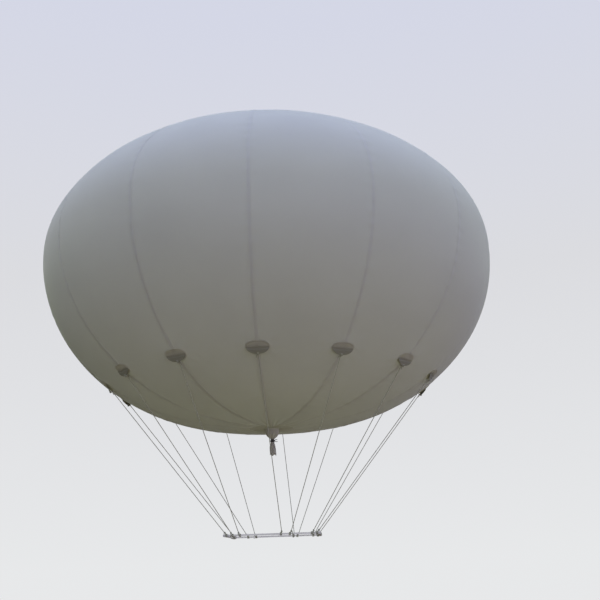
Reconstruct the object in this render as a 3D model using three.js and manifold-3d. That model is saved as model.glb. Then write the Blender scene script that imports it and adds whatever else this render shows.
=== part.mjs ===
import * as THREE from 'three';
import { mergeVertices } from 'three/addons/utils/BufferGeometryUtils.js';
import Module from 'manifold-3d';

// Tethered helium balloon: a flattened round envelope of welded gores, a ring of load patches,
// one suspension line from each patch, and a light rectangular payload frame under the filling neck.
// Millimetres, +Z up, the origin at the middle of the envelope's widest ring.

const wasm = await Module();
wasm.setup();

// Envelope. A latitude is an angle from -90 degrees at the bottom pole to 90 at the top pole.
const GORES = 14;
const GORE_TURN = (2 * Math.PI) / GORES;
const RADIUS = 1800;
const TOP_HEIGHT = 0.6 * RADIUS;
const BOTTOM_DEPTH = 0.765 * RADIUS;
const BOTTOM_FLATTENING = 0.055;
const FLATTENING_SPREAD = 0.45;
const LOBE_DEPTH = 6;
const SHELL = 10;
const GORE_END_RADIUS = 60;
const GORE_COLUMNS = 6;
const STEPS_LOW = 6;
const STEPS_HIGH = 15;
const GAP = 0.4;
const MERGE_DISTANCE = 0.0001;
const HALVINGS = 50;

// Discs that close the envelope over the ends of the gores
const CAP_RADIUS = 170;
const CAP_THICKNESS = 4;
const CAP_SIDES = GORES * GORE_COLUMNS;

// Load patches: an oval base on each seam, and a half-oval flap that stands out from its middle
const PATCH_LATITUDE = -0.785;
const PATCH_HALF_WIDTH = 80;
const PATCH_HALF_HEIGHT = 50;
const PATCH_BLUNTNESS = 0.85;
const PATCH_THICKNESS = 3;
const PATCH_RINGS = 2;
const PATCH_SIDES = 20;
const FLAP_HALF_WIDTH = 76;
const FLAP_HEIGHT = 48;
const FLAP_THICKNESS = 3;
const FLAP_ROOT = 1.5;
const FLAP_STEPS = 12;

// Filling neck, gathered to a waist where it is tied off
const NECK_FLANGE_RADIUS = 66;
const NECK_FLANGE_THICKNESS = 3;
const NECK_ROOT_RADIUS = 56;
const NECK_BELL_RADIUS = 50;
const NECK_BELL_DROP = 44;
const NECK_WAIST_RADIUS = 12;
const NECK_TAIL_RADIUS = 26;
const NECK_TAIL_SHOULDER = 156;
const NECK_WAIST_DROP = 92;
const NECK_LENGTH = 200;
const NECK_SIDES = 20;
const TIE_WIDTH = 22;
const TIE_MARGIN = 4;
const TIE_THICKNESS = 5;

// Payload frame
const FRAME_LENGTH = 700;
const FRAME_WIDTH = 520;
const FRAME_HEIGHT = -2100;
const BAR = 12;
const CORNER = 16;
const CORNER_ARM = 24;

// Suspension lines, each with a knot at both ends
const LINE_RADIUS = 2.5;
const LINE_SIDES = 8;
const KNOT_RADIUS = 5.5;
const KNOT_LENGTH = 16;
const KNOT_TAPER = 2;

// Where each line is tied to the frame: the seam it comes from, counted from the front one,
// then the long bar, -1 for the front one and 1 for the rear one, then the place along that bar
// from -1 at its left corner to 1 at its right corner.
const LINE_TIES = [
  { seam: -6, bar: 1, along: -0.46 },
  { seam: -5, bar: 1, along: -0.64 },
  { seam: -4, bar: 1, along: -1 },
  { seam: -3, bar: -1, along: -1 },
  { seam: -2, bar: -1, along: -0.82 },
  { seam: -1, bar: -1, along: -0.67 },
  { seam: 0, bar: -1, along: 0.19 },
  { seam: 1, bar: -1, along: 0.38 },
  { seam: 2, bar: -1, along: 0.84 },
  { seam: 3, bar: -1, along: 1 },
  { seam: 4, bar: 1, along: 1 },
  { seam: 5, bar: 1, along: 0.84 },
  { seam: 6, bar: 1, along: 0.48 },
  { seam: 7, bar: 1, along: 0.39 },
];

const balloon = new THREE.Group();

const film = new THREE.MeshStandardMaterial({ color: 0xe6e7e6, roughness: 0.45, metalness: 0 });
const patchFilm = new THREE.MeshStandardMaterial({ color: 0xdcdcd6, roughness: 0.5, metalness: 0 });
const neckFilm = new THREE.MeshStandardMaterial({ color: 0xd9dad6, roughness: 0.45, metalness: 0 });
const cordGrey = new THREE.MeshStandardMaterial({ color: 0x3b3a38, roughness: 0.9, metalness: 0 });
const cordWhite = new THREE.MeshStandardMaterial({ color: 0xe9e8e2, roughness: 0.9, metalness: 0 });
const aluminium = new THREE.MeshStandardMaterial({ color: 0xc9ccd0, roughness: 0.35, metalness: 1 });
const castAlloy = new THREE.MeshStandardMaterial({ color: 0x9a9da0, roughness: 0.5, metalness: 0.9 });

function addMesh(name, geometry, material) {
  const mesh = new THREE.Mesh(geometry, material.clone());
  mesh.name = name;
  balloon.add(mesh);
  return mesh;
}

function fromTriangles(positions, triangles) {
  const geometry = new THREE.BufferGeometry();
  geometry.setAttribute('position', new THREE.Float32BufferAttribute(positions, 3));
  geometry.setIndex(triangles);
  return geometry;
}

// Radius and height of the envelope at a latitude.
function profile(latitude) {
  const height = latitude > 0 ? TOP_HEIGHT : BOTTOM_DEPTH;
  const fromBottom = (latitude + Math.PI / 2) / FLATTENING_SPREAD;
  const scale = 1 - BOTTOM_FLATTENING * Math.exp(-fromBottom * fromBottom);
  return { r: RADIUS * Math.cos(latitude) * scale, z: height * Math.sin(latitude) * scale };
}

// The profile's outward direction at a latitude, as radial and vertical parts.
function profileNormal(latitude) {
  const step = 0.001;
  const below = profile(latitude - step);
  const above = profile(latitude + step);
  const length = Math.hypot(above.r - below.r, above.z - below.z);
  return { r: (above.z - below.z) / length, z: -(above.r - below.r) / length };
}

// The latitude on one half of the envelope, -1 below or 1 above, where its radius has a value.
function latitudeAtRadius(radius, half) {
  let near = 0;
  let far = Math.PI / 2;
  for (let i = 0; i < HALVINGS; i += 1) {
    const middle = (near + far) / 2;
    if (profile(half * middle).r > radius) near = middle;
    else far = middle;
  }
  return half * near;
}

function radialDirection(turn) {
  return new THREE.Vector3(Math.sin(turn), -Math.cos(turn), 0);
}

// A point above or below the lobed skin. The seams lie at whole gore turns, in shallow valleys.
function skinPoint(latitude, turn, offset) {
  const { r, z } = profile(latitude);
  const normal = profileNormal(latitude);
  const acrossGore = (turn / GORE_TURN) - Math.floor(turn / GORE_TURN);
  const valley = LOBE_DEPTH * Math.cos(latitude) * (2 * acrossGore - 1) ** 2;
  const point = radialDirection(turn).multiplyScalar(r - valley + normal.r * offset);
  point.z = z + normal.z * offset;
  return point;
}

// Equal steps from one latitude to another, without the last one.
function latitudeSteps(from, to, steps) {
  return Array.from({ length: steps }, (_, i) => from + ((to - from) * i) / steps);
}

function patchLatitudes() {
  const step = 0.01;
  const below = profile(PATCH_LATITUDE - step);
  const above = profile(PATCH_LATITUDE + step);
  const reach = (PATCH_HALF_HEIGHT * 2 * step) / Math.hypot(above.r - below.r, above.z - below.z);
  return { low: PATCH_LATITUDE - reach, high: PATCH_LATITUDE + reach, reach };
}

function goreLatitudes() {
  const patch = patchLatitudes();
  const rimLow = latitudeAtRadius(CAP_RADIUS, -1);
  const rimHigh = latitudeAtRadius(CAP_RADIUS, 1);
  return [
    latitudeAtRadius(GORE_END_RADIUS, -1),
    ...latitudeSteps(rimLow, patch.low, STEPS_LOW),
    patch.low,
    PATCH_LATITUDE,
    ...latitudeSteps(patch.high, rimHigh, STEPS_HIGH),
    rimHigh,
    latitudeAtRadius(GORE_END_RADIUS, 1),
  ];
}

// A closed sheet between two grids of points that have the same rows and columns.
function thickSheet(outer, inner) {
  const rows = outer.length;
  const columns = outer[0].length;
  const positions = [...outer.flat(), ...inner.flat()].flatMap((p) => [p.x, p.y, p.z]);
  const at = (row, column) => row * columns + column;
  const below = rows * columns;
  const triangles = [];
  const quad = (a, b, c, d) => triangles.push(a, b, c, a, c, d);
  for (let i = 0; i < rows - 1; i += 1) {
    for (let j = 0; j < columns - 1; j += 1) {
      const corners = [at(i, j), at(i, j + 1), at(i + 1, j + 1), at(i + 1, j)];
      quad(...corners);
      quad(...corners.reverse().map((n) => n + below));
    }
  }
  for (let i = 0; i < rows - 1; i += 1) {
    const last = columns - 1;
    quad(at(i, 0), at(i + 1, 0), at(i + 1, 0) + below, at(i, 0) + below);
    quad(at(i, last), at(i, last) + below, at(i + 1, last) + below, at(i + 1, last));
  }
  for (let j = 0; j < columns - 1; j += 1) {
    const last = rows - 1;
    quad(at(0, j), at(0, j) + below, at(0, j + 1) + below, at(0, j + 1));
    quad(at(last, j), at(last, j + 1), at(last, j + 1) + below, at(last, j) + below);
  }
  return fromTriangles(positions, triangles);
}

// One gore, from the crown disc to the base disc, between two seams.
function goreGeometry(index) {
  const latitudes = goreLatitudes();
  const grid = (offset) => latitudes.map((latitude) => {
    const margin = GAP / 2 / profile(latitude).r;
    return Array.from({ length: GORE_COLUMNS + 1 }, (_, j) => {
      const share = margin + (j / GORE_COLUMNS) * (GORE_TURN - 2 * margin);
      return skinPoint(latitude, index * GORE_TURN + share, offset);
    });
  });
  return thickSheet(grid(0), grid(-SHELL));
}

// A disc that follows the envelope's pole, on its outside.
function capGeometry(half) {
  const centre = Math.PI / 2;
  const radii = [CAP_RADIUS, GORE_END_RADIUS];
  const side = (offset) => radii.map((radius) => {
    const latitude = latitudeAtRadius(radius, half);
    const { r, z } = profile(latitude);
    const normal = profileNormal(latitude);
    return new THREE.Vector2(r + normal.r * offset, z + normal.z * offset);
  });
  const middle = (offset) => new THREE.Vector2(0, profile(half * centre).z + half * offset);
  const outside = GAP + CAP_THICKNESS;
  const outline = [middle(GAP), ...side(GAP).reverse(), ...side(outside), middle(outside)];
  if (half < 0) outline.reverse();
  return turned(outline, CAP_SIDES);
}

// A solid of revolution about the Z axis, from a profile of radius and height, bottom point first.
function turned(points, sides) {
  const geometry = new THREE.LatheGeometry(points, sides);
  geometry.rotateX(Math.PI / 2);
  return geometry;
}

function toManifold(geometry) {
  const bare = geometry.clone();
  bare.deleteAttribute('normal');
  bare.deleteAttribute('uv');
  const merged = mergeVertices(bare, MERGE_DISTANCE);
  return new wasm.Manifold(new wasm.Mesh({
    numProp: 3,
    vertProperties: new Float32Array(merged.attributes.position.array),
    triVerts: new Uint32Array(merged.index.array),
  }));
}

function fromManifold(solid) {
  const mesh = solid.getMesh();
  return fromTriangles(Array.from(mesh.vertProperties), Array.from(mesh.triVerts));
}

// A cosine or sine that turns an ellipse into an oval with blunter ends.
function blunted(value) {
  return Math.sign(value) * Math.abs(value) ** PATCH_BLUNTNESS;
}

// The oval base of a load patch, bent to the skin over a seam.
function patchBase(turn) {
  const { r } = profile(PATCH_LATITUDE);
  const { reach } = patchLatitudes();
  const point = (ring, side, offset) => {
    const distance = ring / PATCH_RINGS;
    const angle = (2 * Math.PI * side) / PATCH_SIDES;
    const across = (PATCH_HALF_WIDTH * distance * blunted(Math.cos(angle))) / r;
    return skinPoint(PATCH_LATITUDE + reach * distance * blunted(Math.sin(angle)), turn + across, offset);
  };
  const positions = [];
  const triangles = [];
  const layerSize = 1 + PATCH_RINGS * PATCH_SIDES;
  for (const offset of [GAP, GAP + PATCH_THICKNESS]) {
    positions.push(point(0, 0, offset));
    for (let ring = 1; ring <= PATCH_RINGS; ring += 1) {
      for (let side = 0; side < PATCH_SIDES; side += 1) positions.push(point(ring, side, offset));
    }
  }
  const at = (ring, side, layer) => (
    layer * layerSize + (ring === 0 ? 0 : 1 + (ring - 1) * PATCH_SIDES + (side % PATCH_SIDES)));
  for (let side = 0; side < PATCH_SIDES; side += 1) {
    triangles.push(at(0, 0, 1), at(1, side, 1), at(1, side + 1, 1));
    triangles.push(at(0, 0, 0), at(1, side + 1, 0), at(1, side, 0));
    for (let ring = 1; ring < PATCH_RINGS; ring += 1) {
      const upper = [at(ring, side, 1), at(ring + 1, side, 1), at(ring + 1, side + 1, 1), at(ring, side + 1, 1)];
      const lower = [at(ring, side, 0), at(ring, side + 1, 0), at(ring + 1, side + 1, 0), at(ring + 1, side, 0)];
      for (const [a, b, c, d] of [upper, lower]) triangles.push(a, b, c, a, c, d);
    }
    const rim = [
      at(PATCH_RINGS, side, 0), at(PATCH_RINGS, side + 1, 0),
      at(PATCH_RINGS, side + 1, 1), at(PATCH_RINGS, side, 1),
    ];
    triangles.push(rim[0], rim[1], rim[2], rim[0], rim[2], rim[3]);
  }
  return fromTriangles(positions.flatMap((p) => [p.x, p.y, p.z]), triangles);
}

function framePoint(tie) {
  const atCorner = Math.abs(tie.along) === 1;
  const top = (atCorner ? CORNER : BAR) / 2;
  return new THREE.Vector3(
    tie.along * (FRAME_LENGTH / 2 - BAR / 2),
    tie.bar * (FRAME_WIDTH / 2 - BAR / 2),
    FRAME_HEIGHT + top,
  );
}

// A patch's hinge point, and the directions along its hinge and down its flap.
function flapPlace(tie) {
  const turn = tie.seam * GORE_TURN;
  const hinge = skinPoint(PATCH_LATITUDE, turn, GAP + PATCH_THICKNESS - FLAP_ROOT);
  const along = new THREE.Vector3(Math.cos(turn), Math.sin(turn), 0);
  const down = framePoint(tie).sub(hinge);
  down.addScaledVector(along, -down.dot(along)).normalize();
  const tip = hinge.clone().addScaledVector(down, FLAP_HEIGHT);
  return { hinge, along, down, tip };
}

function flapGeometry(tie) {
  const { hinge, along, down } = flapPlace(tie);
  const outline = new THREE.Shape();
  outline.absellipse(0, 0, FLAP_HALF_WIDTH, FLAP_HEIGHT, 0, Math.PI, false, 0);
  outline.closePath();
  const geometry = new THREE.ExtrudeGeometry(outline, {
    depth: FLAP_THICKNESS, bevelEnabled: false, curveSegments: FLAP_STEPS,
  });
  geometry.translate(0, 0, -FLAP_THICKNESS / 2);
  const facing = new THREE.Vector3().crossVectors(along, down);
  const place = new THREE.Matrix4().makeBasis(along, down, facing).setPosition(hinge);
  return geometry.applyMatrix4(place);
}

function patchGeometry(tie) {
  const base = toManifold(patchBase(tie.seam * GORE_TURN));
  return fromManifold(base.add(toManifold(flapGeometry(tie))));
}

function lineGeometry(tie) {
  const { tip } = flapPlace(tie);
  const end = framePoint(tie);
  const direction = end.clone().sub(tip).normalize();
  const start = tip.clone().addScaledVector(direction, GAP);
  const level = Math.hypot(direction.x, direction.y);
  end.z += GAP + Math.max(0, KNOT_RADIUS * level + KNOT_TAPER * direction.z);
  direction.copy(end).sub(start).normalize();
  const length = end.distanceTo(start);
  const half = [
    [0, 0],
    [KNOT_RADIUS, KNOT_TAPER],
    [KNOT_RADIUS, KNOT_LENGTH - KNOT_TAPER],
    [LINE_RADIUS, KNOT_LENGTH],
  ];
  const outline = [...half, ...half.map(([r, z]) => [r, length - z]).reverse()];
  const geometry = turned(outline.map(([r, z]) => new THREE.Vector2(r, z)), LINE_SIDES);
  const turn = new THREE.Quaternion().setFromUnitVectors(new THREE.Vector3(0, 0, 1), direction);
  return geometry.applyQuaternion(turn).translate(start.x, start.y, start.z);
}

// The filling neck hangs from the base disc.
function neckTop() {
  return profile(-Math.PI / 2).z - GAP - CAP_THICKNESS - GAP;
}

function neckGeometry() {
  const waistReach = TIE_WIDTH / 2 + TIE_MARGIN;
  const waistTop = NECK_WAIST_DROP - waistReach;
  const waistEnd = NECK_WAIST_DROP + waistReach;
  const outline = [
    [0, NECK_LENGTH],
    [NECK_TAIL_RADIUS, NECK_LENGTH],
    [NECK_TAIL_RADIUS, NECK_TAIL_SHOULDER],
    [NECK_WAIST_RADIUS, waistEnd],
    [NECK_WAIST_RADIUS, waistTop],
    [NECK_BELL_RADIUS, NECK_BELL_DROP],
    [NECK_ROOT_RADIUS, NECK_FLANGE_THICKNESS],
    [NECK_FLANGE_RADIUS, NECK_FLANGE_THICKNESS],
    [NECK_FLANGE_RADIUS, 0],
    [0, 0],
  ];
  return turned(outline.map(([r, drop]) => new THREE.Vector2(r, neckTop() - drop)), NECK_SIDES);
}

function tieGeometry() {
  const inner = NECK_WAIST_RADIUS + GAP;
  const outer = inner + TIE_THICKNESS;
  const middle = neckTop() - NECK_WAIST_DROP;
  const low = middle - TIE_WIDTH / 2;
  const high = middle + TIE_WIDTH / 2;
  const outline = [[inner, low], [outer, low], [outer, high], [inner, high], [inner, low]];
  return turned(outline.map(([r, z]) => new THREE.Vector2(r, z)), NECK_SIDES);
}

// An elbow that joins two bars, with an arm along each.
function cornerGeometry(sideX, sideY) {
  const outline = new THREE.Shape();
  const reach = CORNER + CORNER_ARM;
  outline.moveTo(0, 0);
  outline.lineTo(reach, 0);
  outline.lineTo(reach, CORNER);
  outline.lineTo(CORNER, CORNER);
  outline.lineTo(CORNER, reach);
  outline.lineTo(0, reach);
  outline.closePath();
  const geometry = new THREE.ExtrudeGeometry(outline, { depth: CORNER, bevelEnabled: false });
  const turns = { '-1,-1': 0, '1,-1': 1, '1,1': 2, '-1,1': 3 };
  geometry.rotateZ((turns[`${sideX},${sideY}`] * Math.PI) / 2);
  const outside = (CORNER - BAR) / 2;
  return geometry.translate(
    sideX * (FRAME_LENGTH / 2 + outside),
    sideY * (FRAME_WIDTH / 2 + outside),
    FRAME_HEIGHT - CORNER / 2,
  );
}

function barGeometry(length, alongX) {
  const clear = length - 2 * (CORNER + CORNER_ARM) + (CORNER - BAR) - 2 * GAP;
  return new THREE.BoxGeometry(alongX ? clear : BAR, alongX ? BAR : clear, BAR);
}

function numbered(name, index) {
  return `${name}_${String(index + 1).padStart(2, '0')}`;
}

function buildEnvelope() {
  for (let i = 0; i < GORES; i += 1) addMesh(numbered('gore', i), goreGeometry(i), film);
  addMesh('crown_disc', capGeometry(1), patchFilm);
  addMesh('base_disc', capGeometry(-1), patchFilm);
  addMesh('filling_neck', neckGeometry(), neckFilm);
  addMesh('neck_tie', tieGeometry(), cordGrey);
}

function buildRigging() {
  LINE_TIES.forEach((tie, i) => {
    addMesh(numbered('load_patch', i), patchGeometry(tie), patchFilm);
    addMesh(numbered('suspension_line', i), lineGeometry(tie), cordWhite);
  });
}

function buildFrame() {
  for (const [name, side] of [['front', -1], ['rear', 1]]) {
    const bar = addMesh(`frame_bar_${name}`, barGeometry(FRAME_LENGTH, true), aluminium);
    bar.position.set(0, side * (FRAME_WIDTH - BAR) / 2, FRAME_HEIGHT);
  }
  for (const [name, side] of [['left', -1], ['right', 1]]) {
    const bar = addMesh(`frame_bar_${name}`, barGeometry(FRAME_WIDTH, false), aluminium);
    bar.position.set(side * (FRAME_LENGTH - BAR) / 2, 0, FRAME_HEIGHT);
  }
  for (const [nameX, sideX] of [['left', -1], ['right', 1]]) {
    for (const [nameY, sideY] of [['front', -1], ['rear', 1]]) {
      addMesh(`frame_corner_${nameY}_${nameX}`, cornerGeometry(sideX, sideY), castAlloy);
    }
  }
}

buildEnvelope();
buildRigging();
buildFrame();

export default balloon;
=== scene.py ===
"""Looks for the tethered advertising balloon: translucent film, load patches, cords and payload frame.

Metres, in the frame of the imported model: +Z up, the origin at the middle of the envelope's widest ring.
"""

import math
from typing import NamedTuple

import bmesh
import bpy
import numpy as np
from mathutils import Matrix


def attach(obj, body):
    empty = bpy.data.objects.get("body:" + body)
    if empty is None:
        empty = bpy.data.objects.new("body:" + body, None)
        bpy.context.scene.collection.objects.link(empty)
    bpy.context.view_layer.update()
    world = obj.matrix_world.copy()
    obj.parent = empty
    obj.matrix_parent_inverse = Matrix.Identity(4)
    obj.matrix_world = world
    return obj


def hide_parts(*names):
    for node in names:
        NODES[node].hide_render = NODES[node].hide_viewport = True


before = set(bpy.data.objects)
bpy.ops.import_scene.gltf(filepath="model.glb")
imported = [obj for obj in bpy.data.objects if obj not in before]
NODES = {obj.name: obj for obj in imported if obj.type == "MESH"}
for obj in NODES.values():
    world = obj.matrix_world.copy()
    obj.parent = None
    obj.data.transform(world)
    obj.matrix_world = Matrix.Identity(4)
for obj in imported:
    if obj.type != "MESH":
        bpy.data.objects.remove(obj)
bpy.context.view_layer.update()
BODY = "root"

# Meshes
SHARP_ANGLE = 0.7
MERGE_DISTANCE = 1e-6
PATH_STEPS = 8

# The envelope's profile, as in the part's source
GORES = 14
GORE_TURN = 2 * math.pi / GORES
RADIUS = 1.8
TOP_HEIGHT = 0.6 * RADIUS
BOTTOM_DEPTH = 0.765 * RADIUS
BOTTOM_FLATTENING = 0.055
FLATTENING_SPREAD = 0.45
LOBE_DEPTH = 0.006
GORE_END_RADIUS = 0.06
FIRST_SEAM = -6
PROFILE_STEPS = 4000
NORMAL_STEP = 0.001
HALVINGS = 50

# Film and its lap welds
FILM = 0.001
WELD_WIDTH = 0.022
WELD_GAP = 0.0003
WELD_RAMP = 0.006
GORE_ROWS = 230
GORE_COLUMNS = 26
OVERLAY = FILM + WELD_GAP + 0.0003

# Relief of the inflated film
PATCH_PULL = 0.007
PATCH_PULL_SPREAD = 0.1
CREASE = 0.0017
CREASE_COUNT = 11
CREASE_REACH = 0.13
CREASE_SPREAD = 0.045
PUCKER = 0.0013
PUCKER_PITCH = 0.095
PUCKER_SPREAD = 0.055
PUCKER_CLEAR_OF_POLE = 0.35
GATHER = 0.0018
GATHER_FOLDS = 3 * GORES
GATHER_REACH = 0.2
GATHER_SPREAD = 0.13
SWAY = 0.0022

# Waves that vary the relief: size, waves round the balloon, turn per metre up it, and phase
PUCKER_DRIFT = [(1.6, 2, 5, 0), (2.5, 3, 0, 0)]
GATHER_DRIFT = [(1.2, 5, 0, 0)]
SWAY_WAVES = [(1.0, 3, 2.6, 0), (0.6, 5, -3.7, 1.1)]

# Discs over the poles, as radius and height over the film, with a pressed ring where they are welded
DISC_FILM = 0.0014
DISC_SIDES = 24 * GORES
DISC_ROWS_PER_STATION = 5
NEAR_POLE = 1e-4
CROWN_STATIONS = [
    (0, 0.0012), (0.052, 0.0012), (0.056, 0.0004), (0.068, 0.0004), (0.072, 0.0016), (0.11, 0.0010),
    (0.148, 0.0006), (0.152, -0.0002), (0.164, -0.0002), (0.167, 0.0003), (0.17, 0.0),
]
BASE_STATIONS = [
    (0, 0), (0.074, 0), (0.078, 0.0010), (0.11, 0.0008),
    (0.148, 0.0006), (0.152, -0.0002), (0.164, -0.0002), (0.167, 0.0003), (0.17, 0.0),
]

# Base of a load patch. Its weld and its hem are shares of the way out to its rim.
PATCH_LATITUDE = -0.785
PATCH_HALF_WIDTH = 0.08
PATCH_HALF_HEIGHT = 0.05
PATCH_BLUNTNESS = 0.85
PATCH_FILM = 0.0012
PATCH_PUFF = 0.0016
PATCH_WELD = (0.7, 0.84)
PATCH_ROWS = (9, 6, 4)
PATCH_SIDES = 84
PRESS_DEPTH = 0.0005
PRESS_EDGE = 0.02
PATCH_HEM = 0.88
HEM_FILM = 0.0008
HEM_SECTION = (0.4, 1, 1, 1, 1, 0.4)

# Flap of a load patch, with a tab over its hinge and a lug at its tip
FLAP_HALF_WIDTH = 0.076
FLAP_HEIGHT = 0.048
FLAP_FILM = 0.0014
FLAP_ROWS = (5, 26, 9)
FLAP_COLUMNS = 45
FLAP_TAB = 0.009
FLAP_TAB_TAPER = 0.1
FLAP_PEEL = (0.004, 0.022)
FLAP_CUP = 0.004
FLAP_LUG = 0.009
FLAP_LUG_REACH = 1.15
FLAP_LUG_START = (0.5, 0.95)
FLAP_LUG_END = 0.98
FLAP_HEM = 0.0004
FLAP_HEM_EDGE = (0.9, 0.94)

# Eyelet in the flap, as radius and height round its middle
EYELET_DROP = 0.043
EYELET_SIDES = 28
EYELET_SECTION = [
    (0, -0.0022), (0.004, -0.0022), (0.0075, -0.0022), (0.008, -0.0012), (0.008, 0.0012),
    (0.0072, 0.0024), (0.0048, 0.003), (0.0038, 0.0012), (0, 0.0012),
]

# Cords and their knots, which press the cord a little thinner
CORD_RADIUS = 0.0025
CORD_SIDES = 10
STRAIGHT_STEPS = 12
KNOT_DROP = 0.012
KNOT_STEPS = 60
KNOT_SPREAD = 0.72
KNOT_DEPTH = 1.1
KNOT_CORD_RADIUS = 0.95 * CORD_RADIUS

# Upper end of a line: a loop through the eyelet, and a loose end
LOOP_GAP = 0.0006
LOOP_BEND = 0.004
LOOP_ENTRY = 0.4
LOOP_EXIT = 0.6
UPPER_TAIL_FORWARD = (0.2, 0.9)
UPPER_TAIL_OUTWARD = (0.1, 0.5)
UPPER_TAIL = [(0, 0), (0.009, 0), (0.016, 0.005), (0.019, 0.013)]

# Lower end of a line: turns round the bar, a rise to the knot, and a loose end
WRAP_TURNS = 2.5
WRAP_STEPS_PER_TURN = 40
WRAP_PITCH = 0.0054
WRAP_SQUARENESS = 1 / 3
RISE_START = (0, 0, 0.004)
RISE_BOW = (0, 0, 0.003)
LOWER_KNOT_AXIS = (0.2, 1, 0.1)
LOWER_TAIL_LENGTH = 0.026
LOWER_TAIL_STRETCH = (0.7, 1.2)
LOWER_TAIL_SKEW = 0.7
LOWER_TAIL_AWAY = (0.7, 1)
LOWER_TAIL_BEND = [(0, 0), (0.010, -0.002), (0.017, 0.008)]
LOWER_TAIL_MIDDLE = (0.020, 0.55)
LOWER_TAIL_TIP = (0.018, 1)
FRAYED_END = 1.12

# Payload frame, and the heads of its screws as radius and height
FRAME_HEIGHT = -2.1
FRAME_LENGTH = 0.7
FRAME_WIDTH = 0.52
BAR = 0.012
BAR_ROUNDING = 0.001
CORNER = 0.016
CORNER_ARM = 0.024
CORNER_ROUNDING = 0.0015
ROUNDING_STEPS = 3
SCREW_ALONG_ARM = 0.55
SCREW_SIDES = 20
SCREW_SHARP_ANGLE = 0.5
SCREW_SECTION = [
    (0, 0), (0.0032, 0), (0.0032, 0.0006), (0.0026, 0.0015),
    (0.0015, 0.0019), (0.0013, 0.0008), (0, 0.0008),
]

# Filling neck: drop below the base disc, mean radius and depth of its folds
NECK_STATIONS = [
    (0.0004, 0.066, 0.0),
    (0.0008, 0.060, 0.0),
    (0.002, 0.0565, 0.01),
    (0.010, 0.0545, 0.02),
    (0.026, 0.0525, 0.035),
    (0.044, 0.0475, 0.06),
    (0.060, 0.0350, 0.11),
    (0.072, 0.0195, 0.17),
    (0.080, 0.0113, 0.2),
    (0.086, 0.0103, 0.2),
    (0.103, 0.0103, 0.2),
    (0.115, 0.0145, 0.2),
    (0.133, 0.0195, 0.2),
    (0.156, 0.0225, 0.19),
    (0.178, 0.0222, 0.2),
    (0.200, 0.0212, 0.22),
]
NECK_FILM = 0.0008
NECK_ROWS = 100
NECK_SIDES = 154
NECK_SMOOTHING = 9
NECK_WAIST_DROP = 0.092
NECK_WAIST_RADIUS = 0.0125
NECK_TWIST_START = 0.01
NECK_TWIST = 0.5
NECK_FOLDS = 11
BROAD_FOLDS = 5
BROAD_FOLD_SIZE = 0.45
BROAD_FOLD_PHASE = 0.7
FINE_FOLDS = NECK_FOLDS + 6
FINE_FOLD_SIZE = 0.3
FINE_FOLD_PHASE = 2.1
FINE_FOLD_LEAST = 0.4
FOLD_SUM = 1.75

# The neck's open tail below the tie. Its hem waves have a size, a number round the tail and a phase.
NECK_TAIL_LENGTH = 0.1
NECK_TAIL_TWIST = 0.7
NECK_TAIL_SQUASH = 0.12
NECK_TAIL_DRIFT = 0.004
NECK_HEM = (0.190, 0.196)
NECK_HEM_THICKENING = 0.5
NECK_HEM_SHARPNESS = 6
NECK_HEM_WAVES = [(0.004, 3, 0.4), (0.002, 7, 0)]

# Neck tie. Its ends have a reach and a lift, and a path given as shares of them.
TIE_RADIUS = 0.002
TIE_TURNS = 5
TIE_STEPS_PER_TURN = 44
TIE_START = 0.5
TIE_PITCH = 2.1 * TIE_RADIUS
TIE_KNOT_SIDE = (0.82, -0.57)
TIE_KNOT_STAND_OFF = 0.003
TIE_KNOT_SIZE = 1.25 * TIE_RADIUS
TIE_KNOT_CORD_RADIUS = 1.1 * TIE_RADIUS
TIE_ENDS = [(0.024, 0.012), (0.026, -0.012)]
TIE_END_SIDE = (0.8, 0.1)
TIE_END_ROOT = 0.005
TIE_END_ROOT_LIFT = 0.2
TIE_END_PATH = [(0.5, 0.7), (1, 0.6)]
TIE_STUB_PLACE = (-0.001, -0.002)
TIE_STUB = [(0, 0, 0), (-0.005, -0.001, -0.001), (-0.009, -0.002, -0.004)]

# Noise in the materials: scale, detail, roughness and distortion
FILM_CLOUDS = (1.7, 4)
FILM_HANDLING = (14, 5, 0.6, 0.8)
FILM_GRAIN = (55, 3)
CORD_SOIL = (9, 4)
CORD_FUZZ = (900, 2)
METAL_GRAIN = (1, 4, 0.6)
METAL_SMUDGES = (22, 4)
NOISE_RANGE = (0.3, 0.7)
SOIL_RANGE = (0.35, 0.75)

# Bump in the materials: depth and strength
FILM_GRAIN_BUMP = (0.0004, 0.35)
FILM_HANDLING_BUMP = (0.0022, 0.3)
KNURL_BUMP = (0.00015, 0.5)
CORD_FUZZ_BUMP = (0.0003, 0.4)
BRAID_BUMP = (0.0005, 0.9)
METAL_BUMP_STRENGTH = 0.5

# Film's look: its darker clouds, the colour and share of the light that comes through, and the painted
# shade that darkens a flap towards its tip
FILM_CLOUD_SHADE = 0.96
FILM_IOR = 1.46
FILM_SHARE = 0.5
WELD_THROUGH = (0.88, 0.875, 0.835)
WELD_SHARE = 0.53
KNURL = 2100
DISC_SHARE = 0.86
PATCH_SHARE = 0.79
FLAP_SHARE = 0.42
FLAP_SHADE = (-0.012, 0.02)

# Cord's look, with painted shade in the braid's grooves
BRAID_PITCH = 0.006
TIE_BRAID_PITCH = 0.004
BRAID_STRANDS = 4
BRAID_GROOVE_SHADE = (-0.6, 0.4)
SOILED_SHADE = 0.82
CORD_ROUGHNESS = 0.85
CORD_SHEEN = 0.25

# Metal's look
SMUDGED_SHADE = 0.86
DRAWN_ALONG_X = (3, 700, 700)
DRAWN_ALONG_Y = (700, 3, 700)
CAST = (260, 260, 260)

# Camera of the photograph, from the fit of its outline, patches and frame
CAMERA_PLACE = (0.41, -6.097, -2.294)
CAMERA_YAW = 0.0265
CAMERA_PITCH = 0.3236
CAMERA_ROLL = 0.0312
FOCAL_PIXELS = 780
IMAGE_PIXELS = 600
SENSOR_MM = 36

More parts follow.
